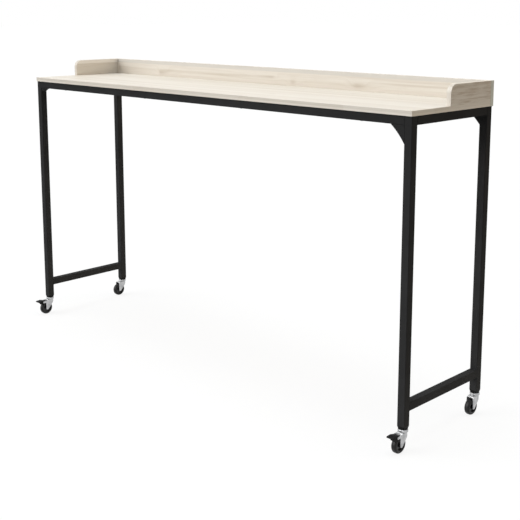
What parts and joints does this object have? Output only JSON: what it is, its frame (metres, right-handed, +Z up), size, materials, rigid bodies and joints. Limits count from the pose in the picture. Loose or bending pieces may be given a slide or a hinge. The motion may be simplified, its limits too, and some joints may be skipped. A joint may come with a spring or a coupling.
{
  "type": "over-bed desk",
  "caption": "Long narrow desk that straddles a bed: pale wood worktop with a low gallery on a black square-tube frame with swivel casters, the front ones with toe brakes.",
  "frame": {"origin": "centre of the desk's outline on the floor", "axes": "+X along the worktop to the right, +Y to the back panel, +Z up"},
  "size_m": [1.803, 0.4444, 1.02],
  "materials": {
    "pale_laminate": "whitewashed wood-grain laminate, satin",
    "beech": "plain turned beech",
    "black_powder_coat": "black powder coat, satin",
    "zinc_plate": "bright zinc plate",
    "nylon": "natural nylon",
    "black_plastic": "moulded black plastic",
    "wheel_plastic": "moulded black plastic",
    "tread_rubber": "black rubber tread"
  },
  "bodies": {
    "frame": {"top_board": "pale_laminate", "back_panel": "pale_laminate", "side_panel_left": "pale_laminate", "side_panel_right": "pale_laminate", "gallery_dowels": "beech", "leg_front_left": "black_powder_coat", "leg_front_right": "black_powder_coat", "leg_back_left": "black_powder_coat", "leg_back_right": "black_powder_coat", "front_rail": "black_powder_coat", "back_rail": "black_powder_coat", "side_rail_left": "black_powder_coat", "side_rail_right": "black_powder_coat", "stretcher_left": "black_powder_coat", "stretcher_right": "black_powder_coat", "gusset_front_left": "black_powder_coat", "gusset_front_right": "black_powder_coat", "gusset_back_left": "black_powder_coat", "gusset_back_right": "black_powder_coat", "rail_spigots": "black_powder_coat", "rail_bolts": "zinc_plate", "worktop_screws": "zinc_plate", "back_panel_screws": "zinc_plate", "side_panel_screws": "zinc_plate", "caster_stem_front_left": "zinc_plate", "caster_stem_front_right": "zinc_plate", "caster_stem_back_left": "zinc_plate", "caster_stem_back_right": "zinc_plate", "swivel_cap_front_left": "zinc_plate", "swivel_cap_front_right": "zinc_plate", "swivel_cap_back_left": "zinc_plate", "swivel_cap_back_right": "zinc_plate", "thrust_washers": "nylon", "leg_plug_front_left": "black_plastic", "leg_plug_front_right": "black_plastic", "leg_plug_back_left": "black_plastic", "leg_plug_back_right": "black_plastic"},
    "fork_front_left": {"fork_front_left": "zinc_plate", "axle_front_left": "zinc_plate", "brake_pin_front_left": "zinc_plate"},
    "wheel_front_left": {"hub_front_left": "wheel_plastic", "tyre_front_left": "tread_rubber"},
    "pedal_front_left": {"brake_pedal_front_left": "black_plastic"},
    "fork_front_right": {"fork_front_right": "zinc_plate", "axle_front_right": "zinc_plate", "brake_pin_front_right": "zinc_plate"},
    "wheel_front_right": {"hub_front_right": "wheel_plastic", "tyre_front_right": "tread_rubber"},
    "pedal_front_right": {"brake_pedal_front_right": "black_plastic"},
    "fork_back_left": {"fork_back_left": "zinc_plate", "axle_back_left": "zinc_plate"},
    "wheel_back_left": {"hub_back_left": "wheel_plastic", "tyre_back_left": "tread_rubber"},
    "fork_back_right": {"fork_back_right": "zinc_plate", "axle_back_right": "zinc_plate"},
    "wheel_back_right": {"hub_back_right": "wheel_plastic", "tyre_back_right": "tread_rubber"}
  },
  "joints": [
    {"name": "swivel_front_left", "type": "hinge", "parent": "frame", "child": "fork_front_left", "pos_m": [-0.8865, -0.16225, 0.056], "axis": [0, 0, 1], "continuous": true},
    {"name": "roll_front_left", "type": "hinge", "parent": "fork_front_left", "child": "wheel_front_left", "pos_m": [-0.8865, -0.18225, 0.025], "axis": [1, 0, 0], "continuous": true},
    {"name": "brake_front_left", "type": "hinge", "parent": "fork_front_left", "child": "pedal_front_left", "pos_m": [-0.8865, -0.19725, 0.0525], "axis": [1, 0, 0], "range_deg": [0, 10]},
    {"name": "swivel_front_right", "type": "hinge", "parent": "frame", "child": "fork_front_right", "pos_m": [0.8865, -0.16225, 0.056], "axis": [0, 0, 1], "continuous": true},
    {"name": "roll_front_right", "type": "hinge", "parent": "fork_front_right", "child": "wheel_front_right", "pos_m": [0.8865, -0.18225, 0.025], "axis": [1, 0, 0], "continuous": true},
    {"name": "brake_front_right", "type": "hinge", "parent": "fork_front_right", "child": "pedal_front_right", "pos_m": [0.8865, -0.19725, 0.0525], "axis": [1, 0, 0], "range_deg": [0, 10]},
    {"name": "swivel_back_left", "type": "hinge", "parent": "frame", "child": "fork_back_left", "pos_m": [-0.8865, 0.20475, 0.056], "axis": [0, 0, 1], "continuous": true},
    {"name": "roll_back_left", "type": "hinge", "parent": "fork_back_left", "child": "wheel_back_left", "pos_m": [-0.8865, 0.18475, 0.025], "axis": [1, 0, 0], "continuous": true},
    {"name": "swivel_back_right", "type": "hinge", "parent": "frame", "child": "fork_back_right", "pos_m": [0.8865, 0.20475, 0.056], "axis": [0, 0, 1], "continuous": true},
    {"name": "roll_back_right", "type": "hinge", "parent": "fork_back_right", "child": "wheel_back_right", "pos_m": [0.8865, 0.18475, 0.025], "axis": [1, 0, 0], "continuous": true}
  ]
}
